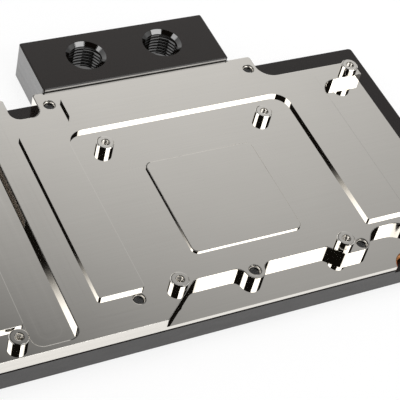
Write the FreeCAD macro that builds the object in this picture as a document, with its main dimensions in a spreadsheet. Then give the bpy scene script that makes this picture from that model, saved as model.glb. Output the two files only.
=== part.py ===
"""Liquid cold plate with its cover, terminal block, seals, standoffs and screws. All sizes in mm."""

import FreeCAD, Part
import math
import os

import Sketcher
from FreeCAD import Vector

# The origin is the middle of the raised face that the chip presses on. X runs along the plate,
# Y towards the terminal block and Z out of the contact side. Names that end in a side of the
# plate or in row, hole or wall hold a place; drops, insets, margins and reaches start at an edge.
SIZES = {
    # Heights of the contact side, each measured from the land round the chip
    "chip_rise": 0.5,
    "pad_rise": 1.2,
    "shelf_depth": 3.4,
    "coil_depth": 2.4,
    "plate_thickness": 4.8,
    "cover_thickness": 8.4,
    "terminal_rise": 1.35,
    # Outline of the plate
    "plate_west": -158.0,
    "plate_east": 75.4,
    "plate_south": -40.3,
    "plate_north": 58.0,
    "shoulder_drop": 11.05,
    "tab_east": 38.5,
    "shoulder_radius": 6.0,
    "notch_west": -53.5,
    "notch_east": -43.2,
    "notch_reach": 9.8,
    "notch_radius": 3.6,
    "plate_corner": 1.0,
    # Half round bite in the south edge, through the plate and into the cover
    "bite_place": 50.0,
    "bite_drop": 0.6,
    "bite_radius": 5.8,
    "bite_depth": 1.6,
    # Outline of the cover where it is not the plate's
    "cover_overhang": 7.1,
    "cover_corner": 1.5,
    "cover_edge": 0.35,
    # Face under the chip
    "chip_half": 19.4,
    "chip_corner": 2.2,
    # Raised pad under the memory, an arch round the chip
    "arch_west": -54.5,
    "arch_inner_west": -39.6,
    "arch_inner_north": 37.8,
    "arch_inner_east": 41.7,
    "arch_east": 56.7,
    "arch_south_west": -27.8,
    "arch_south_east": -23.1,
    "arch_inner_radius": 5.8,
    "arch_shoulder_west": 40.35,
    "arch_shoulder_east": 42.9,
    "arch_margin": 4.5,
    "arch_step_west": -35.2,
    "arch_step_east": 30.9,
    "arch_step_radius": 5.0,
    "pad_corner": 1.0,
    # Raised pad and pocket under the power stage
    "power_west": -118.0,
    "power_east": -78.7,
    "power_south": -30.5,
    "power_margin": 14.0,
    "coil_west": -78.3,
    "coil_east": -64.0,
    "coil_south": -38.35,
    "coil_corner": 3.6,
    # Low shelf along the south edge, with the lands that stay round its holes
    "shelf_west": -37.3,
    "ramp_top": -23.5,
    "shelf_wall": -28.6,
    "nose_west": 23.2,
    "nose_west_low": 27.9,
    "nose_wall": -33.1,
    "nose_east_low": 36.6,
    "nose_east": 41.6,
    "shelf_wall_east": -25.85,
    "ramp_radius": 4.0,
    "nose_radius": 1.4,
    "nose_end_radius": 2.65,
    "neck_radius": 5.9,
    "boss_radius": 3.4,
    "web_radius": 3.0,
    "east_web_radius": 8.5,
    # Low pocket at the east end
    "bay_west": 57.7,
    "bay_margin": 6.85,
    "bay_south": -23.1,
    "bay_radius": 6.0,
    # Tapped holes for the cover screws
    "north_hole_inset": 5.7,
    "north_hole_west": -39.3,
    "north_hole_east": 35.3,
    "south_hole_row": -30.5,
    "south_hole_west": -42.7,
    "south_hole_middle": -3.6,
    "south_hole_east": 35.3,
    "shelf_hole_inset": 15.8,
    "power_hole": -100.0,
    "power_hole_row": -34.8,
    "side_hole": -124.0,
    "side_hole_row": 8.0,
    "end_hole": -151.0,
    "end_hole_south": -32.5,
    "end_hole_inset": 8.0,
    "thread_radius": 1.9,
    "thread_gap": 0.05,
    "through_radius": 2.2,
    "tip_recess": 1.1,
    # Screws
    "head_radius": 3.5,
    "head_height": 4.0,
    "head_edge": 0.3,
    "head_gap": 0.3,
    "socket_radius": 1.73,
    "socket_depth": 2.0,
    "cover_seat": 4.2,
    "terminal_seat": 4.4,
    "terminal_bite": 8.0,
    "tip_chamfer": 0.4,
    # Standoffs under the circuit board
    "standoff_height": 3.0,
    "standoff_radius": 2.95,
    "standoff_bore": 1.25,
    "standoff_edge": 0.25,
    "standoff_bore_depth": 4.6,
    "stud_radius": 1.75,
    "stud_length": 2.8,
    "stud_gap": 0.05,
    "chip_hole": 29.2,
    "coil_post_west": -82.1,
    "coil_post_south": -35.1,
    "corner_post_inset": 4.3,
    "corner_post_drop": 4.25,
    "end_post_west": -136.0,
    "end_post_south": -34.0,
    "end_post_inset": 7.0,
    # Fins, collector and jet plate over the chip
    "fin_half": 16.4,
    "fin_end": 13.0,
    "fin_depth": 2.6,
    "slot_width": 0.8,
    "fin_pitch": 1.6,
    "collector_end": 18.4,
    "collector_east": 17.6,
    "collector_west": -30.0,
    "collector_wall": -20.0,
    "jet_half": 20.0,
    "jet_south": -14.5,
    "jet_north": 20.5,
    "jet_thickness": 1.0,
    "jet_gap": 0.1,
    "jet_slot_half": 13.6,
    "jet_slot_width": 1.5,
    "jet_corner": 1.5,
    # Flow channels in the cover
    "duct_half": 4.5,
    "duct_depth": 6.1,
    "duct_inset": 14.0,
    "duct_corner": 2.0,
    "plenum_half": 3.6,
    "return_near": -24.0,
    "return_south": -19.0,
    "return_inset": 22.0,
    "return_end": -112.0,
    "return_width": 9.0,
    # Main seal
    "seal_west": -117.0,
    "seal_east": 23.5,
    "seal_south": -23.9,
    "seal_inset": 11.4,
    "seal_corner": 8.0,
    "seal_half": 0.75,
    "seal_depth": 1.2,
    "seal_gap": 0.1,
    "seal_round": 0.5,
    # Terminal block with its two threaded ports
    "terminal_west": -39.2,
    "terminal_east": 30.0,
    "terminal_reach": 23.6,
    "terminal_corner": 0.8,
    "terminal_edge": 0.35,
    "port_reach": 12.7,
    "outlet_port": -18.9,
    "inlet_port": 9.8,
    "port_radius": 6.58,
    "port_mouth": 7.0,
    "port_recess": 2.4,
    "passage_half_height": 1.9,
    "passage_corner": 1.5,
    "ring_land": 0.6,
    "ring_width": 1.3,
    "ring_depth": 0.9,
    "terminal_hole_west": -32.0,
    "terminal_hole_middle": -4.55,
    "terminal_hole_east": 22.9,
}

UNDERSIDE = "- chip_rise - plate_thickness"
OUTSIDE = UNDERSIDE + " - cover_thickness"
LAND = "- chip_rise"
TERMINAL_HEIGHT = "plate_thickness + cover_thickness + terminal_rise"
TERMINAL_TOP = LAND + " + terminal_rise"
SHOULDER = "plate_north - shoulder_drop"
COVER_EAST = "plate_east + cover_overhang"
POWER_NORTH = "plate_north - power_margin"
NORTH_ROW = "plate_north - north_hole_inset"
SHELF_HOLE = "plate_east - shelf_hole_inset"
DUCT_NORTH = "plate_north - duct_inset"
RETURN_NORTH = "plate_north - return_inset"
TERMINAL_NORTH = "plate_north + terminal_reach"
PORT_ROW = "plate_north + port_reach"
PASSAGE_LOW = UNDERSIDE + " - duct_depth"
PASSAGE_MIDDLE = PASSAGE_LOW + " + passage_half_height"
PASSAGE_HIGH = PASSAGE_MIDDLE + " + passage_half_height"

doc = FreeCAD.newDocument("cold_plate_assembly")


def fill_sheet():
    """Put every driving size in the spreadsheet, one row each, with its name as alias."""
    sheet = doc.addObject("Spreadsheet::Sheet", "Sizes")
    for row, (name, number) in enumerate(SIZES.items(), start=1):
        sheet.set("A%d" % row, name)
        sheet.set("B%d" % row, str(number))
        sheet.setAlias("B%d" % row, name)
    doc.recompute()


def value(text):
    """Number of a sum such as 'plate_east - plate_corner'."""
    total = 0.0
    sign = 1.0
    for word in text.split():
        if word in ("+", "-"):
            sign = 1.0 if word == "+" else -1.0
        else:
            total += sign * SIZES[word]
            sign = 1.0
    return total


def minus(text):
    """The rest of a sum that takes the given one away."""
    turned = {"+": "-", "-": "+"}
    return " - " + " ".join(turned.get(word, word) for word in text.split())


def cells(text):
    """The same sum as an expression on the spreadsheet."""
    return " ".join(word if word in ("+", "-") else "Sizes." + word for word in text.split())


def new_body(label):
    """An empty body whose label names its file."""
    body = doc.addObject("PartDesign::Body", label)
    body.Label = label
    return body


def new_sketch(body, name, offset, plane="XY_Plane"):
    """A sketch on one of the body's origin planes, lifted along that plane's normal."""
    sketch = body.newObject("Sketcher::SketchObject", name)
    origin_plane = [f for f in body.Origin.OriginFeatures if f.Role == plane]
    sketch.AttachmentSupport = [(origin_plane[0], "")]
    sketch.MapMode = "FlatFace"
    if offset:
        sketch.AttachmentOffset = FreeCAD.Placement(Vector(0, 0, value(offset)), FreeCAD.Rotation())
        sketch.setExpression("AttachmentOffset.Base.z", cells(offset))
    return sketch


def bind(sketch, constraint, text):
    """Add a dimension to the sketch and bind it to the sheet."""
    index = sketch.addConstraint(constraint)
    sketch.setExpression("Constraints[%d]" % index, cells(text))


def pin_point(sketch, geometry, position, x_text, y_text):
    """Fix a point of the sketch at two sums of sizes; an empty sum puts it on that axis."""
    for kind, text, axis in (("DistanceX", x_text, -2), ("DistanceY", y_text, -1)):
        if text:
            bind(sketch, Sketcher.Constraint(kind, -1, 1, geometry, position, value(text)), text)
        else:
            sketch.addConstraint(Sketcher.Constraint("PointOnObject", geometry, position, axis))


def outline(sketch, corners):
    """Closed outline through corners (x, y, radius), each a sum of sizes; no radius is a sharp corner."""
    count = len(corners)
    apexes = [Vector(value(x), value(y), 0) for x, y, _ in corners]
    arcs = []
    for index, (_, _, radius_text) in enumerate(corners):
        here = apexes[index]
        to_back = (apexes[index - 1] - here).normalize()
        to_next = (apexes[(index + 1) % count] - here).normalize()
        if radius_text is None:
            arcs.append((here, here, None, 0))
            continue
        radius = value(radius_text)
        half = to_back.getAngle(to_next) / 2.0
        reach = radius / math.tan(half)
        centre = here + (to_back + to_next).normalize() * (radius / math.sin(half))
        start = here + to_back * reach
        end = here + to_next * reach
        left_turn = to_back.cross(to_next).z < 0
        first, second = (start, end) if left_turn else (end, start)
        angles = [math.atan2(p.y - centre.y, p.x - centre.x) for p in (first, second)]
        if angles[1] < angles[0]:
            angles[1] += 2.0 * math.pi
        arc = Part.ArcOfCircle(Part.Circle(centre, Vector(0, 0, 1), radius), angles[0], angles[1])
        arcs.append((start, end, arc, 1 if left_turn else 2))
    marks = []
    for index, (x_text, y_text, _) in enumerate(corners):
        mark = sketch.addGeometry(Part.Point(apexes[index]), True)
        pin_point(sketch, mark, 1, x_text, y_text)
        marks.append(mark)
    lines = []
    for index in range(count):
        after = (index + 1) % count
        lines.append(sketch.addGeometry(Part.LineSegment(arcs[index][1], arcs[after][0]), False))
    for index, (_, _, arc, entry) in enumerate(arcs):
        before = lines[index - 1]
        after = lines[index]
        if arc is None:
            sketch.addConstraint(Sketcher.Constraint("Coincident", before, 2, marks[index], 1))
            sketch.addConstraint(Sketcher.Constraint("Coincident", after, 1, marks[index], 1))
            continue
        sketch.addConstraint(Sketcher.Constraint("PointOnObject", marks[index], 1, before))
        sketch.addConstraint(Sketcher.Constraint("PointOnObject", marks[index], 1, after))
        curve = sketch.addGeometry(arc, False)
        sketch.addConstraint(Sketcher.Constraint("Tangent", before, 2, curve, entry))
        sketch.addConstraint(Sketcher.Constraint("Tangent", after, 1, curve, 3 - entry))
        radius_text = corners[index][2]
        bind(sketch, Sketcher.Constraint("Radius", curve, value(radius_text)), radius_text)


def box_corners(west, south, east, north, radius):
    """Corners of an upright rectangle, anticlockwise."""
    return [(west, south, radius), (east, south, radius), (east, north, radius), (west, north, radius)]


def circles(sketch, centres, radius_text):
    """Circles of one radius at a list of places."""
    for x_text, y_text in centres:
        place = Vector(value(x_text), value(y_text), 0)
        ring = sketch.addGeometry(Part.Circle(place, Vector(0, 0, 1), value(radius_text)), False)
        pin_point(sketch, ring, 3, x_text, y_text)
        bind(sketch, Sketcher.Constraint("Radius", ring, value(radius_text)), radius_text)


def pad(body, name, sketch, length, reverse=False):
    """Raise a sketch by a sum of sizes."""
    feature = body.newObject("PartDesign::Pad", name)
    feature.Profile = sketch
    feature.Length = value(length)
    feature.setExpression("Length", cells(length))
    feature.Reversed = reverse
    sketch.Visibility = False
    doc.recompute()
    return feature


def pocket(body, name, sketch, length, reverse=False):
    """Cut a sketch into the body by a sum of sizes, and stop if it removes nothing."""
    before = body.Shape.Volume
    feature = body.newObject("PartDesign::Pocket", name)
    feature.Profile = sketch
    feature.Length = value(length)
    feature.setExpression("Length", cells(length))
    feature.Reversed = reverse
    sketch.Visibility = False
    doc.recompute()
    if body.Shape.Volume >= before:
        raise RuntimeError(name + " cuts nothing")
    return feature


def named_edges(shape, wanted):
    """Names of the edges that a test picks."""
    return ["Edge%d" % (i + 1) for i, edge in enumerate(shape.Edges) if wanted(edge)]


def edge_feature(body, kind, name, base, wanted, size_text):
    """Chamfer or fillet on the picked edges of a feature."""
    feature = body.newObject("PartDesign::" + kind, name)
    feature.Base = (base, named_edges(base.Shape, wanted))
    property_name = "Radius" if kind == "Fillet" else "Size"
    setattr(feature, property_name, value(size_text))
    feature.setExpression(property_name, cells(size_text))
    doc.recompute()
    return feature


def at_level(edge, level):
    """True for an edge that lies flat at one height."""
    box = edge.BoundBox
    return abs(box.ZMin - level) < 1e-4 and abs(box.ZMax - level) < 1e-4


def revolved(body, name, corners):
    """Turn a profile of (radius, height) corners about the body's Z axis."""
    sketch = new_sketch(body, name + "_profile", "", "XZ_Plane")
    outline(sketch, corners)
    feature = body.newObject("PartDesign::Revolution", name)
    feature.Profile = sketch
    feature.ReferenceAxis = (sketch, ["V_Axis"])
    feature.Angle = 360.0
    sketch.Visibility = False
    doc.recompute()
    return feature


COVER_HOLES = [
    ("north_hole_west", NORTH_ROW),
    ("north_hole_east", NORTH_ROW),
    ("south_hole_west", "south_hole_row"),
    ("south_hole_middle", "south_hole_row"),
    ("south_hole_east", "south_hole_row"),
    (SHELF_HOLE, "south_hole_row"),
    ("power_hole", "power_hole_row"),
    ("power_hole", NORTH_ROW),
    ("side_hole", "side_hole_row"),
    ("end_hole", "end_hole_south"),
    ("end_hole", "plate_north - end_hole_inset"),
]

STANDOFFS = [
    ("- chip_hole", "chip_hole"),
    ("chip_hole", "chip_hole"),
    ("- chip_hole", "- chip_hole"),
    ("chip_hole", "- chip_hole"),
    ("coil_post_west", "coil_post_south"),
    ("plate_east - corner_post_inset", SHOULDER + " - corner_post_drop"),
    ("end_post_west", "end_post_south"),
    ("end_post_west", "plate_north - end_post_inset"),
]

BITE = ("bite_place", "plate_south - bite_drop")
TERMINAL_HOLES = ["terminal_hole_west", "terminal_hole_middle", "terminal_hole_east"]
PORTS = ["outlet_port", "inlet_port"]


def passage_outline(sketch, port, margin):
    """Rounded mouth of the passage beside one port, grown on every side by a sum of sizes."""
    grown = " + " + margin if margin else ""
    moved = minus(margin) if margin else ""
    outline(sketch, box_corners(port + " - duct_half" + moved, PASSAGE_LOW + moved,
                                port + " + duct_half" + grown, PASSAGE_HIGH + grown,
                                "passage_corner" + grown))


def build_boss(body, name, centre_x, wall, web_text):
    """Land that stays round a hole of the shelf: a round nose blended to the wall by two webs."""
    boss = value("boss_radius")
    web = value(web_text)
    middle = Vector(value(centre_x), value("south_hole_row"), 0)
    drop = value(wall) - web - middle.y
    spread = math.sqrt((boss + web) ** 2 - drop ** 2)
    lean = math.asin(drop / (boss + web))
    sketch = new_sketch(body, name + "_outline", LAND + " - shelf_depth")
    west_end = Vector(middle.x - spread, value(wall), 0)
    east_end = Vector(middle.x + spread, value(wall), 0)
    west_web = Part.Circle(Vector(west_end.x, west_end.y - web, 0), Vector(0, 0, 1), web)
    east_web = Part.Circle(Vector(east_end.x, east_end.y - web, 0), Vector(0, 0, 1), web)
    nose = Part.Circle(middle, Vector(0, 0, 1), boss)
    back = sketch.addGeometry(Part.LineSegment(west_end, east_end), False)
    west = sketch.addGeometry(Part.ArcOfCircle(west_web, -lean, math.pi / 2), False)
    east = sketch.addGeometry(Part.ArcOfCircle(east_web, math.pi / 2, math.pi + lean), False)
    front = sketch.addGeometry(Part.ArcOfCircle(nose, math.pi - lean, 2 * math.pi + lean), False)
    pin_point(sketch, front, 3, centre_x, "south_hole_row")
    bind(sketch, Sketcher.Constraint("Radius", front, boss), "boss_radius")
    bind(sketch, Sketcher.Constraint("Radius", west, web), web_text)
    bind(sketch, Sketcher.Constraint("Radius", east, web), web_text)
    bind(sketch, Sketcher.Constraint("DistanceY", -1, 1, back, 1, value(wall)), wall)
    sketch.addConstraint(Sketcher.Constraint("Horizontal", back))
    sketch.addConstraint(Sketcher.Constraint("Tangent", back, 1, west, 2))
    sketch.addConstraint(Sketcher.Constraint("Tangent", back, 2, east, 1))
    sketch.addConstraint(Sketcher.Constraint("Tangent", west, 1, front, 1))
    sketch.addConstraint(Sketcher.Constraint("Tangent", east, 2, front, 2))
    pad(body, name, sketch, "shelf_depth")


def build_contact_side(body):
    """Raised and lowered areas that meet the parts of the circuit board."""
    face = new_sketch(body, "chip_outline", LAND)
    outline(face, box_corners("- chip_half", "- chip_half", "chip_half", "chip_half", "chip_corner"))
    pad(body, "chip_face", face, "chip_rise")
    arch = new_sketch(body, "arch_outline", LAND)
    outline(arch, [
        ("arch_west", "arch_south_west", "pad_corner"),
        ("arch_inner_west", "arch_south_west", "pad_corner"),
        ("arch_inner_west", "arch_inner_north", "arch_inner_radius"),
        ("arch_inner_east", "arch_inner_north", "arch_inner_radius"),
        ("arch_inner_east", "arch_south_east", "pad_corner"),
        ("arch_east", "arch_south_east", "pad_corner"),
        ("arch_east", "arch_shoulder_east", "pad_corner"),
        ("arch_step_east", "arch_shoulder_east", "arch_step_radius"),
        ("arch_step_east", "plate_north - arch_margin", "pad_corner"),
        ("arch_step_west", "plate_north - arch_margin", "pad_corner"),
        ("arch_step_west", "arch_shoulder_west", "arch_step_radius"),
        ("arch_west", "arch_shoulder_west", "pad_corner"),
    ])
    pad(body, "memory_arch", arch, "pad_rise")
    power = new_sketch(body, "power_outline", LAND)
    outline(power, box_corners("power_west", "power_south", "power_east", POWER_NORTH, "pad_corner"))
    pad(body, "power_pad", power, "pad_rise")
    coil = new_sketch(body, "coil_outline", LAND)
    outline(coil, box_corners("coil_west", "coil_south", "coil_east", POWER_NORTH, "coil_corner"))
    pocket(body, "coil_pocket", coil, "coil_depth")
    bay = new_sketch(body, "bay_outline", LAND)
    outline(bay, [
        ("bay_west", "bay_south", "bay_radius"),
        ("plate_east", "bay_south", None),
        ("plate_east", SHOULDER + " - bay_margin", None),
        ("bay_west", SHOULDER + " - bay_margin", "bay_radius"),
    ])
    pocket(body, "east_bay", bay, "shelf_depth")
    shelf = new_sketch(body, "shelf_outline", LAND)
    outline(shelf, [
        ("shelf_west", "plate_south", None),
        ("plate_east", "plate_south", None),
        ("plate_east", "shelf_wall_east", None),
        ("nose_east", "shelf_wall_east", "neck_radius"),
        ("nose_east_low", "nose_wall", "nose_end_radius"),
        ("nose_west_low", "nose_wall", "nose_radius"),
        ("nose_west", "shelf_wall", "nose_radius"),
        ("ramp_top", "shelf_wall", "ramp_radius"),
    ])
    pocket(body, "south_shelf", shelf, "shelf_depth")
    build_boss(body, "middle_boss", "south_hole_middle", "shelf_wall", "web_radius")
    build_boss(body, "east_boss", SHELF_HOLE, "shelf_wall_east", "east_web_radius")
    bite = new_sketch(body, "bite_outline", LAND)
    circles(bite, [BITE], "bite_radius")
    pocket(body, "edge_bite", bite, "plate_thickness")


def build_fins(body):
    """Collector round the fins and the slots between them, cut in the wet side."""
    collector = new_sketch(body, "collector_outline", UNDERSIDE)
    outline(collector, [
        ("collector_west", "- collector_end", "duct_corner"),
        ("collector_east", "- collector_end", "duct_corner"),
        ("collector_east", "- fin_end", None),
        ("collector_wall", "- fin_end", None),
        ("collector_wall", "fin_end", None),
        ("collector_east", "fin_end", None),
        ("collector_east", "collector_end", "duct_corner"),
        ("collector_west", "collector_end", "duct_corner"),
    ])
    pocket(body, "collector", collector, "fin_depth", True)
    slot = new_sketch(body, "slot_outline", UNDERSIDE)
    outline(slot, box_corners("- fin_half", "- fin_end", "- fin_half + slot_width", "fin_end", None))
    first = pocket(body, "first_slot", slot, "fin_depth", True)
    slots = body.newObject("PartDesign::LinearPattern", "slots")
    slots.Originals = [first]
    slots.Direction = (slot, ["H_Axis"])
    slots.Length = 2.0 * value("fin_half") - value("slot_width")
    slots.setExpression("Length", "2 * Sizes.fin_half - Sizes.slot_width")
    slots.Occurrences = round(slots.Length.Value / value("fin_pitch")) + 1
    body.Tip = slots
    doc.recompute()


def build_cold_plate():
    """Contact plate with its stepped outline."""
    body = new_body("cold_plate")
    edge = new_sketch(body, "plate_outline", UNDERSIDE)
    outline(edge, [
        ("plate_west", "plate_south", "plate_corner"),
        ("plate_east", "plate_south", "plate_corner"),
        ("plate_east", SHOULDER, "plate_corner"),
        ("tab_east", SHOULDER, "shoulder_radius"),
        ("tab_east", "plate_north", "plate_corner"),
        ("notch_east", "plate_north", "plate_corner"),
        ("notch_east", "plate_north - notch_reach", "notch_radius"),
        ("notch_west", "plate_north - notch_reach", "notch_radius"),
        ("notch_west", "plate_north", "plate_corner"),
        ("plate_west", "plate_north", "plate_corner"),
    ])
    pad(body, "plate", edge, "plate_thickness")
    build_contact_side(body)
    build_fins(body)
    tapped = new_sketch(body, "tapped_holes", LAND)
    circles(tapped, COVER_HOLES, "thread_radius")
    pocket(body, "tapping", tapped, "plate_thickness")
    studs = new_sketch(body, "stud_holes", LAND)
    circles(studs, STANDOFFS, "stud_radius")
    pocket(body, "stud_drilling", studs, "stud_length + stud_gap")
    return body


def build_cover():
    """Cover with plenum, ducts, seal groove and counterbored holes."""
    body = new_body("cover")
    edge = new_sketch(body, "cover_outline", OUTSIDE)
    outline(edge, box_corners("plate_west", "plate_south", COVER_EAST, "plate_north", "cover_corner"))
    block = pad(body, "cover_block", edge, "cover_thickness")
    rims = (value(OUTSIDE), value(UNDERSIDE))
    edge_feature(body, "Chamfer", "cover_rims", block,
                 lambda e: at_level(e, rims[0]) or at_level(e, rims[1]), "cover_edge")
    recess = new_sketch(body, "jet_recess_outline", UNDERSIDE)
    outline(recess, box_corners("- jet_half", "jet_south", "jet_half", "jet_north", "jet_corner"))
    pocket(body, "jet_recess", recess, "jet_thickness")
    inlet = new_sketch(body, "inlet_outline", UNDERSIDE)
    outline(inlet, [
        ("- inlet_port - duct_half", "- plenum_half", "duct_corner"),
        ("inlet_port + duct_half", "- plenum_half", "duct_corner"),
        ("inlet_port + duct_half", DUCT_NORTH, "duct_corner"),
        ("inlet_port - duct_half", DUCT_NORTH, "duct_corner"),
        ("inlet_port - duct_half", "plenum_half", "duct_corner"),
        ("- inlet_port - duct_half", "plenum_half", "duct_corner"),
    ])
    pocket(body, "inlet_duct", inlet, "duct_depth")
    outlet = new_sketch(body, "return_outline", UNDERSIDE)
    outline(outlet, [
        ("return_end", "return_south", "duct_corner"),
        ("return_near", "return_south", "duct_corner"),
        ("return_near", "collector_end", "duct_corner"),
        ("return_near - return_width", "collector_end", "duct_corner"),
        ("return_near - return_width", "return_south + return_width", "duct_corner"),
        ("return_end + return_width", "return_south + return_width", "duct_corner"),
        ("return_end + return_width", RETURN_NORTH + " - return_width", "duct_corner"),
        ("outlet_port + duct_half", RETURN_NORTH + " - return_width", "duct_corner"),
        ("outlet_port + duct_half", DUCT_NORTH, "duct_corner"),
        ("outlet_port - duct_half", DUCT_NORTH, "duct_corner"),
        ("outlet_port - duct_half", RETURN_NORTH, "duct_corner"),
        ("return_end", RETURN_NORTH, "duct_corner"),
    ])
    pocket(body, "return_duct", outlet, "duct_depth")
    groove = new_sketch(body, "groove_outline", UNDERSIDE)
    seal_outlines(groove, "seal_half + seal_gap")
    pocket(body, "seal_groove", groove, "seal_depth")
    bite = new_sketch(body, "bite_outline", UNDERSIDE)
    circles(bite, [BITE], "bite_radius")
    pocket(body, "edge_bite", bite, "bite_depth")
    holes = new_sketch(body, "screw_holes", OUTSIDE)
    circles(holes, COVER_HOLES, "through_radius")
    pocket(body, "screw_drilling", holes, "cover_thickness", True)
    seats = new_sketch(body, "screw_seats", OUTSIDE)
    circles(seats, COVER_HOLES, "head_radius + head_gap")
    pocket(body, "counterbores", seats, "cover_seat", True)
    for port in PORTS:
        mouth = new_sketch(body, port + "_passage", "- plate_north", "XZ_Plane")
        passage_outline(mouth, port, "")
        pocket(body, port + "_link", mouth, "duct_inset + duct_corner", True)
    tapped = new_sketch(body, "terminal_tapping", "- plate_north", "XZ_Plane")
    circles(tapped, [(name, PASSAGE_MIDDLE) for name in TERMINAL_HOLES], "thread_radius")
    pocket(body, "terminal_threads", tapped, "terminal_bite", True)
    return body


def seal_outlines(sketch, half_width):
    """Two loops on either side of the seal's centre line, a sum of sizes apart from it."""
    less = minus(half_width)
    more = " + " + half_width
    outline(sketch, box_corners("seal_west" + less, "seal_south" + less, "seal_east" + more,
                                "plate_north - seal_inset" + more, "seal_corner" + more))
    outline(sketch, box_corners("seal_west" + more, "seal_south" + more, "seal_east" + less,
                                "plate_north - seal_inset" + less, "seal_corner" + less))


def build_terminal():
    """Block with two ports that are open at both faces and lead into the cover."""
    body = new_body("terminal_block")
    edge = new_sketch(body, "terminal_outline", OUTSIDE)
    outline(edge, box_corners("terminal_west", "plate_north", "terminal_east", TERMINAL_NORTH,
                              "terminal_corner"))
    block = pad(body, "terminal_blank", edge, TERMINAL_HEIGHT)
    rims = (value(OUTSIDE), value(TERMINAL_TOP))
    edge_feature(body, "Chamfer", "terminal_rims", block,
                 lambda e: at_level(e, rims[0]) or at_level(e, rims[1]), "terminal_edge")
    places = [(port, PORT_ROW) for port in PORTS]
    bores = new_sketch(body, "port_bores", OUTSIDE)
    circles(bores, places, "port_radius")
    pocket(body, "port_boring", bores, TERMINAL_HEIGHT, True)
    upper = new_sketch(body, "upper_mouths", TERMINAL_TOP)
    circles(upper, places, "port_mouth")
    pocket(body, "upper_recess", upper, "port_recess")
    lower = new_sketch(body, "lower_mouths", OUTSIDE)
    circles(lower, places, "port_mouth")
    pocket(body, "lower_recess", lower, "port_recess", True)
    for port in PORTS:
        mouth = new_sketch(body, port + "_mouth", "- plate_north", "XZ_Plane")
        passage_outline(mouth, port, "")
        pocket(body, port + "_gallery", mouth, "port_reach")
        ring = new_sketch(body, port + "_ring", "- plate_north", "XZ_Plane")
        passage_outline(ring, port, "ring_land + ring_width")
        passage_outline(ring, port, "ring_land")
        pocket(body, port + "_ring_groove", ring, "ring_depth")
    holes = [(name, PASSAGE_MIDDLE) for name in TERMINAL_HOLES]
    drill = new_sketch(body, "terminal_drilling", "- plate_north", "XZ_Plane")
    circles(drill, holes, "through_radius")
    pocket(body, "terminal_holes", drill, "terminal_reach")
    seats = new_sketch(body, "terminal_seats", "- plate_north - terminal_reach", "XZ_Plane")
    circles(seats, holes, "head_radius + head_gap")
    pocket(body, "terminal_counterbores", seats, "terminal_seat", True)
    return body


def build_jet_plate():
    """Thin sheet that lets the coolant into the middle of the fins through one slot."""
    body = new_body("jet_plate")
    sheet = new_sketch(body, "jet_outline", UNDERSIDE + " - jet_thickness")
    outline(sheet, box_corners("- jet_half + jet_gap", "jet_south + jet_gap", "jet_half - jet_gap",
                               "jet_north - jet_gap", "jet_corner - jet_gap"))
    outline(sheet, box_corners("- jet_slot_half", "- jet_slot_width", "jet_slot_half", "jet_slot_width",
                               None))
    pad(body, "jet_sheet", sheet, "jet_thickness")
    return body


def build_main_seal():
    """Cord ring that fills the height of the groove in the cover."""
    body = new_body("main_seal")
    loops = new_sketch(body, "seal_outline", UNDERSIDE + " - seal_depth")
    seal_outlines(loops, "seal_half")
    cord = pad(body, "seal_cord", loops, "seal_depth")
    levels = (value(UNDERSIDE + " - seal_depth"), value(UNDERSIDE))
    edge_feature(body, "Fillet", "seal_rounding", cord,
                 lambda e: at_level(e, levels[0]) or at_level(e, levels[1]), "seal_round")
    return body


def build_ring_seal(label, port):
    """Ring between cover and terminal block round one passage."""
    body = new_body(label)
    loops = new_sketch(body, label + "_outline", "- plate_north", "XZ_Plane")
    passage_outline(loops, port, "ring_land + ring_width - seal_gap")
    passage_outline(loops, port, "ring_land + seal_gap")
    pad(body, label + "_cord", loops, "ring_depth", True)
    return body


def build_standoff(label, x_text, y_text):
    """Internally tapped standoff with the stud that is pressed in the plate."""
    body = new_body(label)
    revolved(body, label + "_turning", [
        ("", "- stud_length", None),
        ("stud_radius - stud_gap", "- stud_length", None),
        ("stud_radius - stud_gap", "", None),
        ("standoff_radius", "", None),
        ("standoff_radius", "standoff_height - standoff_edge", None),
        ("standoff_radius - standoff_edge", "standoff_height", None),
        ("standoff_bore", "standoff_height", None),
        ("standoff_bore", "standoff_height - standoff_bore_depth", None),
        ("", "standoff_height - standoff_bore_depth", None),
    ])
    place(body, x_text, y_text, LAND, FreeCAD.Rotation())
    return body


def build_screw(label, length):
    """Cap screw with its seat at height zero and its shank along Z."""
    body = new_body(label)
    revolved(body, label + "_turning", [
        ("", "- head_height", None),
        ("head_radius - head_edge", "- head_height", None),
        ("head_radius", "- head_height + head_edge", None),
        ("head_radius", "", None),
        ("thread_radius - thread_gap", "", None),
        ("thread_radius - thread_gap", length + " - tip_chamfer", None),
        ("thread_radius - thread_gap - tip_chamfer", length, None),
        ("", length, None),
    ])
    socket = new_sketch(body, label + "_hexagon", "- head_height")
    radius = value("socket_radius")
    guide = sketch_circle(socket, radius)
    corners = [Vector(radius * math.cos(math.radians(60 * i)), radius * math.sin(math.radians(60 * i)), 0)
               for i in range(6)]
    sides = [socket.addGeometry(Part.LineSegment(corners[i], corners[(i + 1) % 6]), False) for i in range(6)]
    for i in range(6):
        socket.addConstraint(Sketcher.Constraint("Coincident", sides[i], 2, sides[(i + 1) % 6], 1))
        socket.addConstraint(Sketcher.Constraint("PointOnObject", sides[i], 1, guide))
    for i in range(1, 6):
        socket.addConstraint(Sketcher.Constraint("Equal", sides[0], sides[i]))
    socket.addConstraint(Sketcher.Constraint("PointOnObject", sides[0], 1, -1))
    pocket(body, label + "_socket", socket, "socket_depth", True)
    return body


def sketch_circle(sketch, radius):
    """Construction circle that carries the corners of the hexagon."""
    guide = sketch.addGeometry(Part.Circle(Vector(0, 0, 0), Vector(0, 0, 1), radius), True)
    sketch.addConstraint(Sketcher.Constraint("Coincident", guide, 3, -1, 1))
    bind(sketch, Sketcher.Constraint("Radius", guide, radius), "socket_radius")
    return guide


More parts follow.
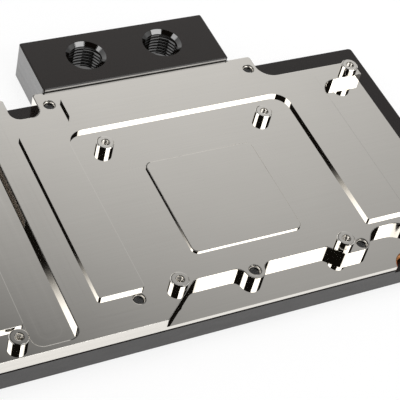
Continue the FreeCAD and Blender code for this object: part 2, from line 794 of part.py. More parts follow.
def place(body, x_text, y_text, z_text, rotation):
    """Put a body at sums of sizes."""
    body.Placement = FreeCAD.Placement(Vector(value(x_text), value(y_text), value(z_text)), rotation)
    for axis, text in (("x", x_text), ("y", y_text), ("z", z_text)):
        body.setExpression("Placement.Base." + axis, cells(text))


def build_all():
    """Every piece, in the order of assembly."""
    bodies = [build_cold_plate(), build_cover(), build_terminal(), build_jet_plate(), build_main_seal()]
    for port in PORTS:
        bodies.append(build_ring_seal(port.replace("port", "seal"), port))
    for number, (x_text, y_text) in enumerate(STANDOFFS, start=1):
        bodies.append(build_standoff("standoff_%d" % number, x_text, y_text))
    cover_length = "cover_thickness - cover_seat + plate_thickness - tip_recess"
    for number, (x_text, y_text) in enumerate(COVER_HOLES, start=1):
        screw = build_screw("cover_screw_%02d" % number, cover_length)
        place(screw, x_text, y_text, OUTSIDE + " + cover_seat", FreeCAD.Rotation())
        bodies.append(screw)
    terminal_length = "terminal_reach - terminal_seat + terminal_bite - tip_recess"
    for number, x_text in enumerate(TERMINAL_HOLES, start=1):
        screw = build_screw("terminal_screw_%d" % number, terminal_length)
        place(screw, x_text, TERMINAL_NORTH + " - terminal_seat", PASSAGE_MIDDLE,
              FreeCAD.Rotation(Vector(1, 0, 0), 90))
        bodies.append(screw)
    return bodies


def export(bodies):
    """Check every object and write one file for each piece."""
    doc.recompute()
    for item in doc.Objects:
        if "Invalid" in item.State or "Error" in item.State:
            raise RuntimeError(item.Name + " has errors")
    os.makedirs("parts", exist_ok=True)
    for body in bodies:
        shape = body.Shape
        if shape.isNull() or not shape.isValid() or len(shape.Solids) != 1:
            raise RuntimeError(body.Label + " is not one sound solid")
        shape.exportStep(os.path.join("parts", body.Label + ".step"))


fill_sheet()
export(build_all())
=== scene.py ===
"""Looks of a liquid cooling cold plate: bright plated metal, black acetal, thread turns and studio light.

Places and lengths here are in mm in the part's own frame, except where a comment says metres. The objects
themselves are in metres.
"""

import math

import bpy
from mathutils import Matrix, Vector


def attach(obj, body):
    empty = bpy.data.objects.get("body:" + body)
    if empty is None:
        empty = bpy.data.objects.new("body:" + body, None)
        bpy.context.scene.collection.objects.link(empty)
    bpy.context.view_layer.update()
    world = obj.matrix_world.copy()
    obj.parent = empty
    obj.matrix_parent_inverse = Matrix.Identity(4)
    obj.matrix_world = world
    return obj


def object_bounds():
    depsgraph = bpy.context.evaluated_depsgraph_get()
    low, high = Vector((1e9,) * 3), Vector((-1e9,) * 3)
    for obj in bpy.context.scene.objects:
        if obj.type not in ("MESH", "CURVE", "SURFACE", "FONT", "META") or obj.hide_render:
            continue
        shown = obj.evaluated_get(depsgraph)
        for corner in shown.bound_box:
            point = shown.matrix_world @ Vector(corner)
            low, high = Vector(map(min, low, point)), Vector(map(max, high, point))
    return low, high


MM = 0.001

# places of the standoffs, the tapped holes and the two ports
STANDOFFS = [(-29.2, 29.2), (29.2, 29.2), (-29.2, -29.2), (29.2, -29.2), (-82.1, -35.1), (71.1, 42.7),
             (-136.0, -34.0), (-136.0, 51.0)]
TAPPED_HOLES = [(-39.3, 52.3), (35.3, 52.3), (-42.7, -30.5), (-3.6, -30.5), (35.3, -30.5), (59.6, -30.5),
                (-100.0, -34.8), (-100.0, 52.3), (-124.0, 8.0), (-151.0, -32.5), (-151.0, 50.0)]
PORTS = (-18.9, 9.8)
PORT_Y = 70.7
BITE = (50.0, -40.9)

# heights of the steps of the part
LAND = -0.5
COIL_POCKET_FLOOR = -2.9
COVER_BROKEN_EDGE = -6.1

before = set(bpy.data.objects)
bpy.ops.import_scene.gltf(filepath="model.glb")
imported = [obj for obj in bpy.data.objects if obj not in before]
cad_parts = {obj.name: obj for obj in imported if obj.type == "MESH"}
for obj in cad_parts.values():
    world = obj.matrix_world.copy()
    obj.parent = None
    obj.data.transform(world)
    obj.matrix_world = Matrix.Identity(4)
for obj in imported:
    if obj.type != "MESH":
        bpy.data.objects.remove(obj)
cad_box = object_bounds()

# ---------------------------------------------------------------- node helpers

# a mix node's sockets: first input, second input, output
MIX_SOCKETS = {"RGBA": (6, 7, 2), "VECTOR": (4, 5, 1)}
UP = (0.0, 0.0, 1.0)


class Graph:
    """Short way to add nodes and join them."""

    def __init__(self, tree):
        self.tree = tree
        self.tree.nodes.clear()

    def node(self, kind, label="", **settings):
        made = self.tree.nodes.new(kind)
        if label:
            made.label = label
        for key, value in settings.items():
            setattr(made, key, value)
        return made

    def feed(self, socket, value):
        """Join a socket to an output, or set its value."""
        if hasattr(value, "is_output"):
            self.tree.links.new(value, socket)
        else:
            socket.default_value = value

    def fill(self, made, fed):
        """Feed several inputs of a node, by name or number; gives the node's first output."""
        for name, value in fed.items():
            self.feed(made.inputs[name], value)
        return made.outputs[0]

    def fed(self, kind, fed, label="", **settings):
        """New node with its inputs fed; gives its first output."""
        return self.fill(self.node(kind, label, **settings), fed)

    def math(self, operation, *values, label="", clamp=False):
        return self.fed("ShaderNodeMath", dict(enumerate(values)), label, operation=operation, use_clamp=clamp)

    def product(self, *values, label=""):
        whole = values[0]
        for value in values[1:]:
            whole = self.math("MULTIPLY", whole, value, label=label)
        return whole

    def vector(self, operation, *values):
        made = self.node("ShaderNodeVectorMath", operation=operation)
        self.fill(made, dict(enumerate(values)))
        return made.outputs["Value" if operation == "LENGTH" else 0]

    def split(self, value):
        made = self.node("ShaderNodeSeparateXYZ")
        self.feed(made.inputs[0], value)
        return made.outputs

    def join(self, x, y, z):
        return self.fed("ShaderNodeCombineXYZ", {0: x, 1: y, 2: z})

    def triple(self, value):
        """The same value three times, as a grey."""
        return self.join(value, value, value)

    def span(self, value, low, high, start=0.0, end=1.0, label=""):
        """Soft step from start, where the value is low, to end, where it is high."""
        return self.fed("ShaderNodeMapRange", {"Value": value, "From Min": low, "From Max": high,
                                               "To Min": start, "To Max": end},
                        label, interpolation_type="SMOOTHSTEP")

    def within(self, value, *edges):
        """One inside the edges; each edge is the pair of values between which it fades in."""
        return self.product(*(self.span(value, *edge) for edge in edges))

    def near(self, value, middle, outer, inner=0.0):
        """One as near as inner to the middle, fading to nothing at outer."""
        return self.span(self.math("ABSOLUTE", self.math("SUBTRACT", value, middle)), outer, inner)

    def vary(self, value, noise, share):
        """The value, raised and lowered by a share of a noise that swings round one half."""
        return self.math("MULTIPLY_ADD", self.math("SUBTRACT", noise, 0.5), share, value)

    def mix(self, share, first, second, label="", data_type="RGBA"):
        made = self.node("ShaderNodeMix", label, data_type=data_type)
        start, end, result = MIX_SOCKETS[data_type]
        self.fill(made, {"Factor": share, start: first, end: second})
        return made.outputs[result]

    def blend(self, share, first, second, label=""):
        return self.mix(share, first, second, label, "VECTOR")

    def mix_shaders(self, share, first, second):
        return self.fed("ShaderNodeMixShader", {0: share, 1: first, 2: second})

    def noise(self, where, stretch, detail, roughness=0.5, label=""):
        """Noise of size one at a place that is stretched along x, y and z."""
        return self.fed("ShaderNodeTexNoise", {"Vector": self.vector("MULTIPLY", where, stretch), "Scale": 1.0,
                                               "Detail": detail, "Roughness": roughness}, label)


def grey(level, warm=0.0):
    """A grey, a little warmer where asked."""
    return (level * (1 + warm), level, level * (1 - warm), 1.0)


def new_material(name):
    """Material with an empty graph, and the socket that takes its shader."""
    material = bpy.data.materials.new(name)
    material.use_nodes = True
    graph = Graph(material.node_tree)
    return material, graph, graph.node("ShaderNodeOutputMaterial").inputs["Surface"]


# ---------------------------------------------------------------- studio

# light levels, 1 being the white that the lens sees
PANEL_LEVEL = 2.3
FLAG_LEVEL = 0.006
FLAG_WARMTH = 0.15
CEILING_MIDDLE_LEVEL = 0.6
LOW_WALL_FOOT_LEVEL = 0.8
LOW_WALL_TOP_LEVEL = 0.45
LOW_WALL_EAST_DIMMING = 0.65
BELOW_BENCH_LEVEL = 0.9
SOFT_BOX_LEVEL = 1.7
SOFT_BOX_MIDDLE_LEVEL = 3.2
BENCH_PAINT = 0.9
BENCH_GLOW = 1.06
BENCH_WEST_PAINTED_GLOW = 0.35
BENCH_GLOW_SHARE = 0.75

# Edges of the studio's parts, in degrees: nothing at the first angle, whole at the second.
# A bearing runs from the part's east towards its north, a height from the bench upwards.
WEST_PANEL_START = (134.0, 137.0)
WEST_PANEL_PAST_WEST = (-177.0, -180.0)
WEST_PANEL_FOOT = (30.0, 36.0)
OVERHEAD_BOX_SIDE = (92.0, 104.0)
CEILING_EDGE = (62.0, 70.0)
CEILING_MIDDLE_EDGE = (77.0, 80.0)
BEHIND_LENS = (-72.0, -80.0)
LOW_WALL_RISE = (0.0, 34.0)
LOW_WALL_TOP = (35.0, 31.0)
LOW_WALL_EAST = ((-15.0, 5.0), (50.0, 40.0))
WALL_AHEAD = ((34.0, 38.0), (100.0, 96.0))
WALL_AHEAD_TOP = (64.0, 58.0)
CEILING_DROP = 6.0

# the horizon and the overhead box are given by place on a level ceiling or by sine, not by angle
HORIZON = (0.02, -0.02)
OVERHEAD_BOX_SLANT = 0.122
OVERHEAD_BOX_FAR_EDGE = (0.686, 0.606)
LEAST_SINE = 0.02

# wall ahead: its middle and step in degrees, and how many steps its grading goes each way
AHEAD_BEARING = (53.0, 10.0, -1.3, 1.4)
AHEAD_HEIGHT = (46.0, 6.0, -1.5, 1.4)
AHEAD_LEVEL = 0.547

SOFT_BOX_CORNERS = [(-41, -295, 262), (424, -295, 262), (424, -295, 700), (-41, -295, 700)]
BENCH_REACH = 3000
BENCH_CLEARANCE = 0.02
# in metres: the heights between which the soft box is hotter, and the patch west of the part where the bench glows
# brighter in reflections only, a painted pool of light
SOFT_BOX_MIDDLE = ((0.27, 0.31), (0.46, 0.42))
WEST_GLOW_X = (-0.036, -0.046)
WEST_GLOW_Y = (0.04, 0.052)

# the clip distances are in metres
LENS_CLIP = (0.01, 20.0)
LENS_LENGTH = 126.051
LENS_SENSOR = 36.0
LENS_PLACE = (-191.282, -245.610, 319.839)
LENS_RIGHT = (0.88898297, -0.41753283, 0.18808405)
LENS_DOWN = (-0.19722288, -0.71975464, -0.66562481)
LENS_AHEAD = (0.41329458, 0.55463464, -0.72219665)


def white_panels(graph, way, bearing, height):
    """Share of white: a panel in the west, a box overhead with a slanted far edge, and the ceiling."""
    x, y, z = way
    west = graph.math("ADD", graph.span(bearing, *WEST_PANEL_START), graph.span(bearing, *WEST_PANEL_PAST_WEST),
                      clamp=True)
    panels = graph.product(west, graph.span(height, *WEST_PANEL_FOOT), label="west panel")
    # the slanted edge crosses what the west walls mirror
    along = graph.math("DIVIDE", graph.math("MULTIPLY_ADD", x, OVERHEAD_BOX_SLANT, y),
                       graph.math("MAXIMUM", z, LEAST_SINE), label="ceiling place along")
    overhead = graph.product(graph.span(along, *OVERHEAD_BOX_FAR_EDGE), graph.span(bearing, *OVERHEAD_BOX_SIDE))
    # the ceiling reaches lower behind the lens, where the crests of the port threads mirror it
    raised = graph.math("MULTIPLY_ADD", graph.span(bearing, *BEHIND_LENS), CEILING_DROP, height)
    panels = graph.math("MAXIMUM", panels, overhead)
    return graph.math("MAXIMUM", panels, graph.span(raised, *CEILING_EDGE), label="white panels")


def low_wall(graph, bearing, height):
    """Grey of the low wall all round, lighter at its foot and dimmed in the east."""
    foot = graph.span(height, *LOW_WALL_RISE, LOW_WALL_FOOT_LEVEL, LOW_WALL_TOP_LEVEL)
    east = graph.within(bearing, *LOW_WALL_EAST)
    return graph.triple(graph.product(foot, graph.math("MULTIPLY_ADD", east, -LOW_WALL_EAST_DIMMING, 1.0)))


def steps_from(graph, angle, middle, step, least, most):
    """How many steps an angle lies from the middle, held between two limits."""
    steps = graph.math("DIVIDE", graph.math("SUBTRACT", angle, middle), step)
    return graph.math("MINIMUM", graph.math("MAXIMUM", steps, least), most)


def wall_ahead(graph, bearing, height):
    """Grey of the wall ahead, lighter at its foot and towards the north."""
    north = steps_from(graph, bearing, *AHEAD_BEARING)
    up = steps_from(graph, height, *AHEAD_HEIGHT)
    level = AHEAD_LEVEL
    for term, weight in ((north, 0.0766), (up, -0.191), (graph.product(north, north), -0.0395),
                         (graph.product(north, up), -0.061), (graph.product(up, up), -0.040)):
        level = graph.math("MULTIPLY_ADD", term, weight, level, label="graded wall ahead")
    return graph.triple(level)


def studio_world():
    """What the plating mirrors: walls, white panels and ceiling, and black between them; the lens sees white."""
    world = bpy.data.worlds.new("studio")
    bpy.context.scene.world = world
    world.use_nodes = True
    graph = Graph(world.node_tree)
    way = graph.split(graph.node("ShaderNodeTexCoord").outputs["Generated"])
    x, y, z = way
    bearing = graph.math("MULTIPLY", graph.math("ARCTAN2", y, x), math.degrees(1.0), label="bearing")
    height = graph.math("MULTIPLY", graph.math("ARCSINE", z), math.degrees(1.0), label="height")
    seen = graph.mix(white_panels(graph, way, bearing, height), grey(FLAG_LEVEL, FLAG_WARMTH), grey(PANEL_LEVEL))
    seen = graph.mix(graph.span(height, *CEILING_MIDDLE_EDGE), seen, grey(CEILING_MIDDLE_LEVEL),
                     label="grey middle of the ceiling")
    seen = graph.mix(graph.span(height, *LOW_WALL_TOP), seen, low_wall(graph, bearing, height),
                     label="low wall all round")
    ahead = graph.product(graph.within(bearing, *WALL_AHEAD), graph.span(height, *WALL_AHEAD_TOP))
    seen = graph.mix(ahead, seen, wall_ahead(graph, bearing, height))
    seen = graph.mix(graph.span(z, *HORIZON), seen, grey(BELOW_BENCH_LEVEL))
    seen = graph.mix(graph.node("ShaderNodeLightPath").outputs["Is Camera Ray"], seen, grey(1.0))
    backdrop = graph.fed("ShaderNodeBackground", {"Color": seen})
    graph.feed(graph.node("ShaderNodeOutputWorld").inputs["Surface"], backdrop)


def stage_piece(name, corners, material):
    """One flat piece of the studio, kept out of the part."""
    mesh = bpy.data.meshes.new(name)
    mesh.from_pydata([Vector(corner) * MM for corner in corners], [], [(0, 1, 2, 3)])
    mesh.materials.append(material)
    made = bpy.data.objects.new(name, mesh)
    bpy.context.collection.objects.link(made)


def glow(graph, strength):
    """White light of a strength."""
    return graph.fed("ShaderNodeEmission", {"Color": grey(1.0), "Strength": strength})


def soft_box():
    """Lit panel low on the lens side, which the south faces and the standoffs mirror; the lens sees through it."""
    material, graph, surface = new_material("soft_box")
    level = graph.split(graph.node("ShaderNodeNewGeometry").outputs["Position"])[2]
    strength = graph.math("MULTIPLY_ADD", graph.within(level, *SOFT_BOX_MIDDLE),
                          SOFT_BOX_MIDDLE_LEVEL - SOFT_BOX_LEVEL, SOFT_BOX_LEVEL, label="hot middle")
    clear = graph.node("ShaderNodeBsdfTransparent").outputs[0]
    by_lens = graph.node("ShaderNodeLightPath").outputs["Is Camera Ray"]
    graph.feed(surface, graph.mix_shaders(by_lens, glow(graph, strength), clear))
    stage_piece("soft_box", SOFT_BOX_CORNERS, material)


def bench():
    """White bench that the part lies on and mirrors; it keeps the part's shadow and has a painted glow in its west.
    """
    material, graph, surface = new_material("bench_white")
    paint = graph.fed("ShaderNodeBsdfDiffuse", {"Color": grey(BENCH_PAINT)})
    path = graph.node("ShaderNodeLightPath").outputs
    seen = graph.math("MAXIMUM", path["Is Camera Ray"], path["Is Glossy Ray"])
    place = graph.split(graph.node("ShaderNodeNewGeometry").outputs["Position"])
    # painted pool of light: the bench west of the part glows brighter, seen in reflections only
    west_glow = graph.product(graph.span(place[0], *WEST_GLOW_X), graph.span(place[1], *WEST_GLOW_Y),
                        path["Is Glossy Ray"], label="painted glow west of the part")
    light = glow(graph, graph.math("MULTIPLY_ADD", west_glow, BENCH_WEST_PAINTED_GLOW, BENCH_GLOW))
    graph.feed(surface, graph.mix_shaders(graph.product(seen, BENCH_GLOW_SHARE), paint, light))
    level = cad_box[0].z / MM - BENCH_CLEARANCE
    stage_piece("bench", [(-BENCH_REACH, -BENCH_REACH, level), (BENCH_REACH, -BENCH_REACH, level),
                          (BENCH_REACH, BENCH_REACH, level), (-BENCH_REACH, BENCH_REACH, level)], material)


def lens():
    """Camera at the photograph's viewing place."""
    data = bpy.data.cameras.new("lens")
    data.lens = LENS_LENGTH
    data.sensor_width = LENS_SENSOR
    data.clip_start, data.clip_end = LENS_CLIP
    made = bpy.data.objects.new("lens", data)
    turn = Matrix((Vector(LENS_RIGHT), -Vector(LENS_DOWN), -Vector(LENS_AHEAD))).transposed().to_4x4()
    made.matrix_world = Matrix.Translation(Vector(LENS_PLACE) * MM) @ turn
    bpy.context.collection.objects.link(made)
    bpy.context.scene.camera = made


# ---------------------------------------------------------------- finishes

# the upward share of a normal from which a face counts as a wall or a top: nothing at the first, whole at the second
WALL_SLOPE = (0.03, 0.01)
TOP_SLOPE = (0.985, 0.995)
# rims: widths of the broken edge, and how far a west rim leans before it counts as one
PLATING_RIM = 0.32
PLATING_WEST_RIM = 0.6
PLATING_RIMS_ABOVE = -0.6
ACETAL_RIM = 0.4
RIM_SAMPLES = 6
WEST_RIM_LEAN = (0.01, 0.05)
WEST_RIM_NORMAL = (-0.479, 0.063, 0.876)
# a rim is open where no wall stands within this many edge widths
WALL_REACH = 3
OPEN_SHARE = 0.99
# raised pads: the heights between which they lie, and the lean of their north and east rims
PAD_HEIGHTS = (0.1, 1.0)
PAD_RIM_LEAN = (0.01, 0.04)
EAST_RIM_KEENNESS = 0.85

PLATING = (0.80, 0.772, 0.722)
DULL_PLATING = (0.15, 0.127, 0.107)
PLATING_ROUGHNESS = 0.03
CUTTER_LINES_SHARE = 0.07
CLOUDING_SHARE = 0.05
PATH_MARKS_SHARE = 0.022
WALL_LINES_SHARE = 0.18

# painted shade along the gap in front of the terminal block, where the plate meets it
JOINT_PAINTED_SHADE = 0.93
JOINT_NORTH_OF = (57.5, 57.65)
JOINT_ABOVE = (-0.8, -0.6)
JOINT_ENDS = ((-39.3, -39.2), (30.1, 30.0))

# dull foot of the coil pocket's east wall, north of its middle
FOOT_NORTH_OF = (7.4, 8.2)
FOOT_BELOW = (-1.0, -1.2)
FOOT_X = (-64.0, 0.5, 0.3)

# cores that the cutter's paths run round: middle and half size of an upright rectangle
CHIP_CORE = ((0.0, 0.0), (16.0, 16.0))
ARCH_CORE = ((-34.9, 9.0), (20.0, 40.0))
COIL_POCKET_CORE = ((-71.15, 12.825), (0.8, 44.825))
CHIP_RINGS = ((5.0, 6.5), (11.0, 9.0))
CHIP_RING_WAVE = 6.0
FLAT_REACH = (0.15, 0.1)
ARCH_WEST_OF = (-39.0, -44.0)
COIL_POCKET_WALL = (7.35, 6.85)
# single path marks: how far from the core, half width, strength
ARCH_MARKS = ((2.8, 0.5, -1.6), (5.0, 2.2, -0.9), (7.2, 0.4, -1.8))
COIL_POCKET_MARKS = ((2.75, 0.45, 2.4), (4.55, 1.6, -1.8), (1.2, 0.8, -1.5))
# path marks come and go in patches, but never fade below this share
PATCH = (0.4, 0.6)
LEAST_MARKS = 0.3

ACETAL_LINES_SHARE = 0.6
WIPED_SHARE = 0.8
SOUTH_WALL = (-0.5, -0.8)
COAT_IOR = 2.1
COAT_ROUGHNESS = 0.08
BROKEN_EDGE_RISE = 1.2


def principled(name):
    """Material with its graph and shader."""
    material, graph, surface = new_material(name)
    shader = graph.node("ShaderNodeBsdfPrincipled")
    graph.feed(surface, shader.outputs[0])
    return material, graph, shader


def object_place(graph):
    """Place on the object, in metres."""
    return graph.node("ShaderNodeTexCoord").outputs["Object"]


def place_in_mm(graph):
    """Place on the object, in mm."""
    return graph.vector("MULTIPLY", object_place(graph), (1000.0, 1000.0, 1000.0))


def bevel(graph, edge, label):
    """Normal that rounds rims by an edge in mm."""
    return graph.fed("ShaderNodeBevel", {"Radius": edge * MM}, label, samples=RIM_SAMPLES)


def clean_normal(graph, edge, west_edge=0.0, rims_above=-100.0):
    """Flat faces and upright walls mirror true; the rims of faces that look up are broken by a small edge.

    Faces that look up and lie lower than rims_above keep their flat floor up to the walls round them. Gives the
    normal and the share of wall.
    """
    shape = graph.node("ShaderNodeNewGeometry").outputs
    true_z = graph.split(shape["True Normal"])[2]
    smooth = graph.split(shape["Normal"])
    level = graph.split(shape["Position"])[2]
    upright = graph.vector("NORMALIZE", graph.join(smooth[0], smooth[1], 0.0))
    is_wall = graph.span(graph.math("ABSOLUTE", true_z), *WALL_SLOPE)
    is_top = graph.span(true_z, *TOP_SLOPE)
    normal = graph.blend(is_wall, shape["Normal"], upright)
    normal = graph.blend(is_top, normal, UP)
    corner = graph.node("ShaderNodeAmbientOcclusion", "walls beside the rim", samples=RIM_SAMPLES, only_local=True)
    graph.fill(corner, {"Distance": WALL_REACH * edge * MM})
    has_rim = graph.product(is_top, graph.math("GREATER_THAN", level, rims_above * MM),
                            graph.math("GREATER_THAN", corner.outputs["AO"], OPEN_SHARE))
    rim = bevel(graph, edge, "broken edges")
    if west_edge:
        wide = bevel(graph, west_edge, "wider break along west rims")
        lean = graph.math("MULTIPLY", graph.split(wide)[0], -1.0)
        rim = graph.blend(graph.span(lean, *WEST_RIM_LEAN), rim, WEST_RIM_NORMAL)
    # north and east rims of the raised pads stay keen
    on_pad = graph.product(graph.math("GREATER_THAN", level, PAD_HEIGHTS[0] * MM),
                           graph.math("LESS_THAN", level, PAD_HEIGHTS[1] * MM))
    rim_way = graph.split(rim)
    keen = graph.math("MAXIMUM", graph.span(rim_way[1], *PAD_RIM_LEAN),
                      graph.span(rim_way[0], *PAD_RIM_LEAN, 0.0, EAST_RIM_KEENNESS))
    rim = graph.blend(graph.product(keen, on_pad), rim, UP)
    return graph.blend(has_rim, normal, rim), is_wall


def box_distance(graph, x, y, middle, half):
    """Distance in mm outside an upright rectangle, with round corners."""
    outside = []
    for value, centre, reach in zip((x, y), middle, half):
        past = graph.math("SUBTRACT", graph.math("ABSOLUTE", graph.math("SUBTRACT", value, centre)), reach)
        outside.append(graph.math("MAXIMUM", past, 0.0))
    return graph.vector("LENGTH", graph.join(outside[0], outside[1], 0.0))


def path_marks(graph, place):
    """Marks of the cutter's path: rings round the chip face, lines round the arch and down the coil pocket."""
    x, y, z = graph.split(place)
    away = box_distance(graph, x, y, *CHIP_CORE)
    wave = graph.math("SINE", graph.math("MULTIPLY", away, CHIP_RING_WAVE))
    marks = graph.product(wave, graph.product(graph.within(away, *CHIP_RINGS), 0.5))
    by_arch = box_distance(graph, x, y, *ARCH_CORE)
    on_land = graph.product(graph.near(z, LAND, *FLAT_REACH), graph.span(x, *ARCH_WEST_OF))
    in_pocket = box_distance(graph, x, y, *COIL_POCKET_CORE)
    on_floor = graph.product(graph.near(z, COIL_POCKET_FLOOR, *FLAT_REACH), graph.span(in_pocket, *COIL_POCKET_WALL))
    for away, where, rows in ((by_arch, on_land, ARCH_MARKS), (in_pocket, on_floor, COIL_POCKET_MARKS)):
        for middle, half_width, strength in rows:
            line = graph.product(graph.near(away, middle, half_width), where)
            marks = graph.math("MULTIPLY_ADD", line, strength, marks)
    patch = graph.span(graph.noise(place, (0.08, 0.08, 0.08), 1.0), *PATCH)
    return graph.product(marks, graph.math("MULTIPLY_ADD", patch, 1.0 - LEAST_MARKS, LEAST_MARKS),
                         label="path marks")


def plated_face():
    """Bright plating over milled copper: fine cutter lines, path marks, slightly broken edges and painted shade in
    front of the terminal block.
    """
    material, graph, shader = principled("bright_plating")
    normal, is_wall = clean_normal(graph, PLATING_RIM, PLATING_WEST_RIM, PLATING_RIMS_ABOVE)
    place = place_in_mm(graph)
    x, y, z = graph.split(place)
    lines = graph.noise(place, (0.02, 1.9, 0.4), 3.0, 0.6, label="cutter lines")
    cloud = graph.noise(place, (0.05, 0.05, 0.05), 2.0, label="clouding")
    flank = graph.noise(place, (0.01, 0.01, 1.5), 2.0, label="lines along walls")
    tone = graph.vary(1.0, lines, CUTTER_LINES_SHARE)
    tone = graph.vary(tone, cloud, CLOUDING_SHARE)
    tone = graph.math("MULTIPLY_ADD", path_marks(graph, place), PATH_MARKS_SHARE, tone)
    tone = graph.vary(tone, flank, graph.product(is_wall, WALL_LINES_SHARE))
    # painted shade: the plating is darkened along the gap in front of the terminal block
    painted_joint_shade = graph.product(graph.span(y, *JOINT_NORTH_OF), graph.span(z, *JOINT_ABOVE), graph.within(x, *JOINT_ENDS))
    tone = graph.product(tone, graph.math("MULTIPLY_ADD", painted_joint_shade, -JOINT_PAINTED_SHADE, 1.0), label="tone of the plating")
    foot = graph.product(graph.span(y, *FOOT_NORTH_OF), graph.span(z, *FOOT_BELOW), graph.near(x, *FOOT_X), is_wall,
                         label="dull foot")
    colour = graph.vector("MULTIPLY", graph.triple(tone), PLATING)
    graph.fill(shader, {"Base Color": graph.blend(foot, colour, DULL_PLATING),
                        "Metallic": graph.math("SUBTRACT", 1.0, foot),
                        "Roughness": PLATING_ROUGHNESS, "Normal": normal})
    return material


def acetal(name, colour, wall_polish, roughness, ior, broken_above=None):
    """Black acetal, satin from the face cutter; its walls can be polished by the flank of the cutter.

    Walls that reach above the height broken_above lean inwards there.
    """
    material, graph, shader = principled(name)
    normal, is_wall = clean_normal(graph, ACETAL_RIM)
    place = place_in_mm(graph)
    lines = graph.noise(place, (0.03, 2.2, 2.2), 3.0, 0.6, label="cutter lines")
    if broken_above is not None:
        above = graph.math("GREATER_THAN", graph.split(place)[2], broken_above)
        across = graph.split(normal)
        leaning = graph.vector("NORMALIZE", graph.join(across[0], across[1], BROKEN_EDGE_RISE))
        normal = graph.blend(graph.product(above, is_wall), normal, leaning, label="broken top edge")
    tone = graph.vary(1.0, lines, ACETAL_LINES_SHARE)
    graph.fill(shader, {"Base Color": graph.vector("MULTIPLY", graph.triple(tone), colour),
                        "Roughness": roughness, "IOR": ior, "Normal": normal})
    if wall_polish:
        wiped = graph.noise(place, (0.12, 0.05, 0.5), 2.0, label="wiped streaks")
        wiped = graph.vary(wall_polish, wiped, WIPED_SHARE * wall_polish)
        # the south walls are polished twice as much
        south = graph.span(graph.split(normal)[1], *SOUTH_WALL, label="south wall")
        wiped = graph.product(graph.math("ADD", south, 1.0), wiped)
        graph.fill(shader, {"Coat Weight": graph.product(is_wall, wiped), "Coat IOR": COAT_IOR,
                            "Coat Roughness": COAT_ROUGHNESS, "Coat Normal": normal})
    return material


def grained(name, grain, stretch, detail, noise_roughness, dark, light, metallic, roughness):
    """Plain finish whose colour swings between dark and light with a grain."""
    material, graph, shader = principled(name)
    share = graph.noise(object_place(graph), stretch, detail, noise_roughness, label=grain)
    graph.fill(shader, {"Base Color": graph.mix(share, dark, light), "Metallic": metallic, "Roughness": roughness})
    return material


def stainless():
    """Bare stainless sheet of the jet plate."""
    return grained("jet_steel", "rolled grain", (60.0, 3000.0, 60.0), 3.0, 0.6, grey(0.48), grey(0.62), 1.0, 0.28)


def black_steel():
    """Blackened steel of the screws."""
    return grained("blackened_steel", "oxide patches", (900.0, 900.0, 900.0), 3.0, 0.6, grey(0.035), grey(0.075),
                   0.6, 0.3)


def rubber():
    """Seal cord, dull with a fine grain."""
    return grained("seal_rubber", "rubber grain", (2500.0, 2500.0, 2500.0), 2.0, 0.5, grey(0.009), grey(0.016),
                   0.0, 0.55)


def bare_copper():
    """Copper that the plating left bare in the thread of the edge bite."""
    return grained("bare_copper", "tarnish", (700.0, 700.0, 700.0), 3.0, 0.6, (0.62, 0.20, 0.05, 1.0),
                   (0.95, 0.50, 0.22, 1.0), 1.0, 0.22)


def dress(node, material):
    """Give one node its finish."""
    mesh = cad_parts[node].data
    for index in range(len(mesh.materials)):
        mesh.materials[index] = material


# ---------------------------------------------------------------- threads

# section of a ridge, as shares of its height or of the pitch
ROOT_SINK = 0.08
FOOT_HALF_WIDTH = 0.44
CREST_HALF_WIDTH = 0.07
CREST_ROUNDING = 0.1
# turns over which an end runs out, metres over which a limit does, and the least share of height
END_RUN_OUT = 0.3
LIMIT_RUN_OUT = 0.0012
LEAST_RIDGE = 0.02
KEEN_ANGLE = 0.9


